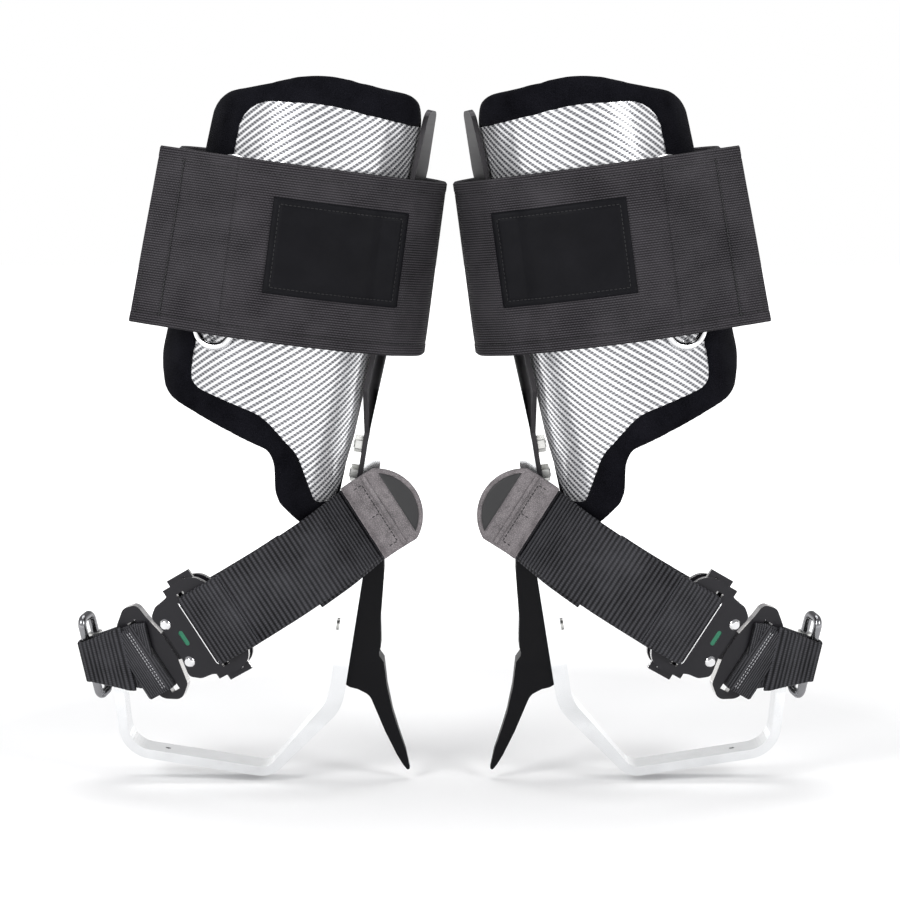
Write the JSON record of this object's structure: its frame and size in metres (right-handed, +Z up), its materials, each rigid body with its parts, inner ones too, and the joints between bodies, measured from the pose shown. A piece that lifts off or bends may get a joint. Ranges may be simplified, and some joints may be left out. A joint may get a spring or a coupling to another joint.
{
  "type": "tree climbing spurs",
  "caption": "Pair of tree climbing spurs: bent shanks with stirrups and gaffs, padded calf cuffs on adjustable arms, wide calf straps and buckled ankle straps.",
  "frame": {"origin": "on the ground, midway between the two spurs, where the wearer's midline meets the ground", "axes": "+X to the wearer's left, from the right spur to the left spur; +Y to the wearer's back; +Z up"},
  "size_m": [0.4752, 0.1542, 0.447],
  "materials": {
    "polished_aluminium": "polished",
    "dark_aluminium": "dark grey anodised",
    "black_steel": "satin black coating",
    "plated_steel": "zinc plated",
    "chrome_wire": "bright",
    "silver_weave": "glossy silver twill laminate",
    "black_pad": "brushed loop over foam",
    "strap_fabric": "ribbed nylon",
    "patch_satin": "satin woven label, blank",
    "webbing": "coarse nylon webbing",
    "tab_leather": "dark brown-grey",
    "black_buckle": "black anodised",
    "bright_latch": "satin",
    "green_marker": "green",
    "black_nylon": "moulded nylon"
  },
  "bodies": {
    "right_shank": {"right_shank_stirrup": "polished_aluminium", "right_arm_screws": "plated_steel", "right_arm_nuts": "plated_steel", "right_gaff": "black_steel", "right_gaff_screws": "plated_steel", "right_ankle_tab": "tab_leather", "right_tab_rivet": "plated_steel", "right_ankle_strap": "webbing", "right_buckle_front_plate": "black_buckle", "right_buckle_back_plate": "black_buckle", "right_buckle_rivets": "chrome_wire", "right_buckle_indicator": "green_marker", "right_latch_springs": "plated_steel", "right_ring_clip": "plated_steel"},
    "right_cuff": {"right_upper_arm": "dark_aluminium", "right_cuff_shell": "silver_weave", "right_cuff_pad": "black_pad", "right_cuff_screws": "plated_steel", "right_arm_spacers": "black_nylon", "right_ring_bracket": "plated_steel", "right_bracket_rivets": "plated_steel", "right_calf_strap": "strap_fabric", "right_strap_patch": "patch_satin"},
    "right_flap": {"right_strap_flap": "strap_fabric"},
    "right_strap_ring": {"right_strap_ring": "chrome_wire"},
    "right_upper_latch": {"right_upper_latch": "bright_latch"},
    "right_lower_latch": {"right_lower_latch": "bright_latch"},
    "right_tongue": {"right_buckle_tongue": "black_buckle", "right_outer_strap": "webbing"},
    "right_stirrup_ring": {"right_stirrup_ring": "chrome_wire"},
    "left_shank": {"left_shank_stirrup": "polished_aluminium", "left_arm_screws": "plated_steel", "left_arm_nuts": "plated_steel", "left_gaff": "black_steel", "left_gaff_screws": "plated_steel", "left_ankle_tab": "tab_leather", "left_tab_rivet": "plated_steel", "left_ankle_strap": "webbing", "left_buckle_front_plate": "black_buckle", "left_buckle_back_plate": "black_buckle", "left_buckle_rivets": "chrome_wire", "left_buckle_indicator": "green_marker", "left_latch_springs": "plated_steel", "left_ring_clip": "plated_steel"},
    "left_cuff": {"left_upper_arm": "dark_aluminium", "left_cuff_shell": "silver_weave", "left_cuff_pad": "black_pad", "left_cuff_screws": "plated_steel", "left_arm_spacers": "black_nylon", "left_ring_bracket": "plated_steel", "left_bracket_rivets": "plated_steel", "left_calf_strap": "strap_fabric", "left_strap_patch": "patch_satin"},
    "left_flap": {"left_strap_flap": "strap_fabric"},
    "left_strap_ring": {"left_strap_ring": "chrome_wire"},
    "left_upper_latch": {"left_upper_latch": "bright_latch"},
    "left_lower_latch": {"left_lower_latch": "bright_latch"},
    "left_tongue": {"left_buckle_tongue": "black_buckle", "left_outer_strap": "webbing"},
    "left_stirrup_ring": {"left_stirrup_ring": "chrome_wire"}
  },
  "joints": [
    {"name": "right_arm_height", "type": "slide", "parent": "right_shank", "child": "right_cuff", "axis": [0.1564, 0, 0.9877], "range_m": [0, 0.038]},
    {"name": "right_strap_peel", "type": "hinge", "parent": "right_cuff", "child": "right_flap", "pos_m": [-0.13575, -0.06932, 0.34385], "axis": [0.135, 0, 0.9908], "range_deg": [0, 60]},
    {"name": "right_strap_ring_swing", "type": "hinge", "parent": "right_cuff", "child": "right_strap_ring", "pos_m": [-0.12755, -0.0634, 0.3397], "axis": [0.135, 0, 0.9908], "range_deg": [-2, 2]},
    {"name": "right_buckle_release", "type": "slide", "parent": "right_shank", "child": "right_tongue", "axis": [-0.7837, 0.3746, -0.4954], "range_m": [0, 0.014]},
    {"name": "right_upper_latch_press", "type": "slide", "parent": "right_shank", "child": "right_upper_latch", "axis": [0.5344, 0, -0.8453], "range_m": [0, 0.0034], "stiffness_N_per_m": 600, "springref_m": -0.001},
    {"name": "right_lower_latch_press", "type": "slide", "parent": "right_shank", "child": "right_lower_latch", "axis": [-0.5344, 0, 0.8453], "range_m": [0, 0.0034], "stiffness_N_per_m": 600, "springref_m": -0.001},
    {"name": "right_stirrup_ring_swing", "type": "hinge", "parent": "right_shank", "child": "right_stirrup_ring", "pos_m": [-0.2252, -0.00732, 0.08193], "axis": [0.2019, 0.1403, -0.9693], "range_deg": [-12, 0]},
    {"name": "pair_spacing", "type": "slide", "parent": "right_shank", "child": "left_shank", "axis": [1, 0, 0], "range_m": [0, 0.25]},
    {"name": "left_arm_height", "type": "slide", "parent": "left_shank", "child": "left_cuff", "axis": [-0.1564, 0, 0.9877], "range_m": [0, 0.038]},
    {"name": "left_strap_peel", "type": "hinge", "parent": "left_cuff", "child": "left_flap", "pos_m": [0.13575, -0.06932, 0.34385], "axis": [0.135, 0, -0.9908], "range_deg": [0, 60]},
    {"name": "left_strap_ring_swing", "type": "hinge", "parent": "left_cuff", "child": "left_strap_ring", "pos_m": [0.12755, -0.0634, 0.3397], "axis": [0.135, 0, -0.9908], "range_deg": [-2, 2]},
    {"name": "left_buckle_release", "type": "slide", "parent": "left_shank", "child": "left_tongue", "axis": [0.7837, 0.3746, -0.4954], "range_m": [0, 0.014]},
    {"name": "left_upper_latch_press", "type": "slide", "parent": "left_shank", "child": "left_upper_latch", "axis": [-0.5344, 0, -0.8453], "range_m": [0, 0.0034], "stiffness_N_per_m": 600, "springref_m": -0.001},
    {"name": "left_lower_latch_press", "type": "slide", "parent": "left_shank", "child": "left_lower_latch", "axis": [0.5344, 0, 0.8453], "range_m": [0, 0.0034], "stiffness_N_per_m": 600, "springref_m": -0.001},
    {"name": "left_stirrup_ring_swing", "type": "hinge", "parent": "left_shank", "child": "left_stirrup_ring", "pos_m": [0.2252, -0.00732, 0.08193], "axis": [0.2019, -0.1403, 0.9693], "range_deg": [-12, 0]}
  ]
}
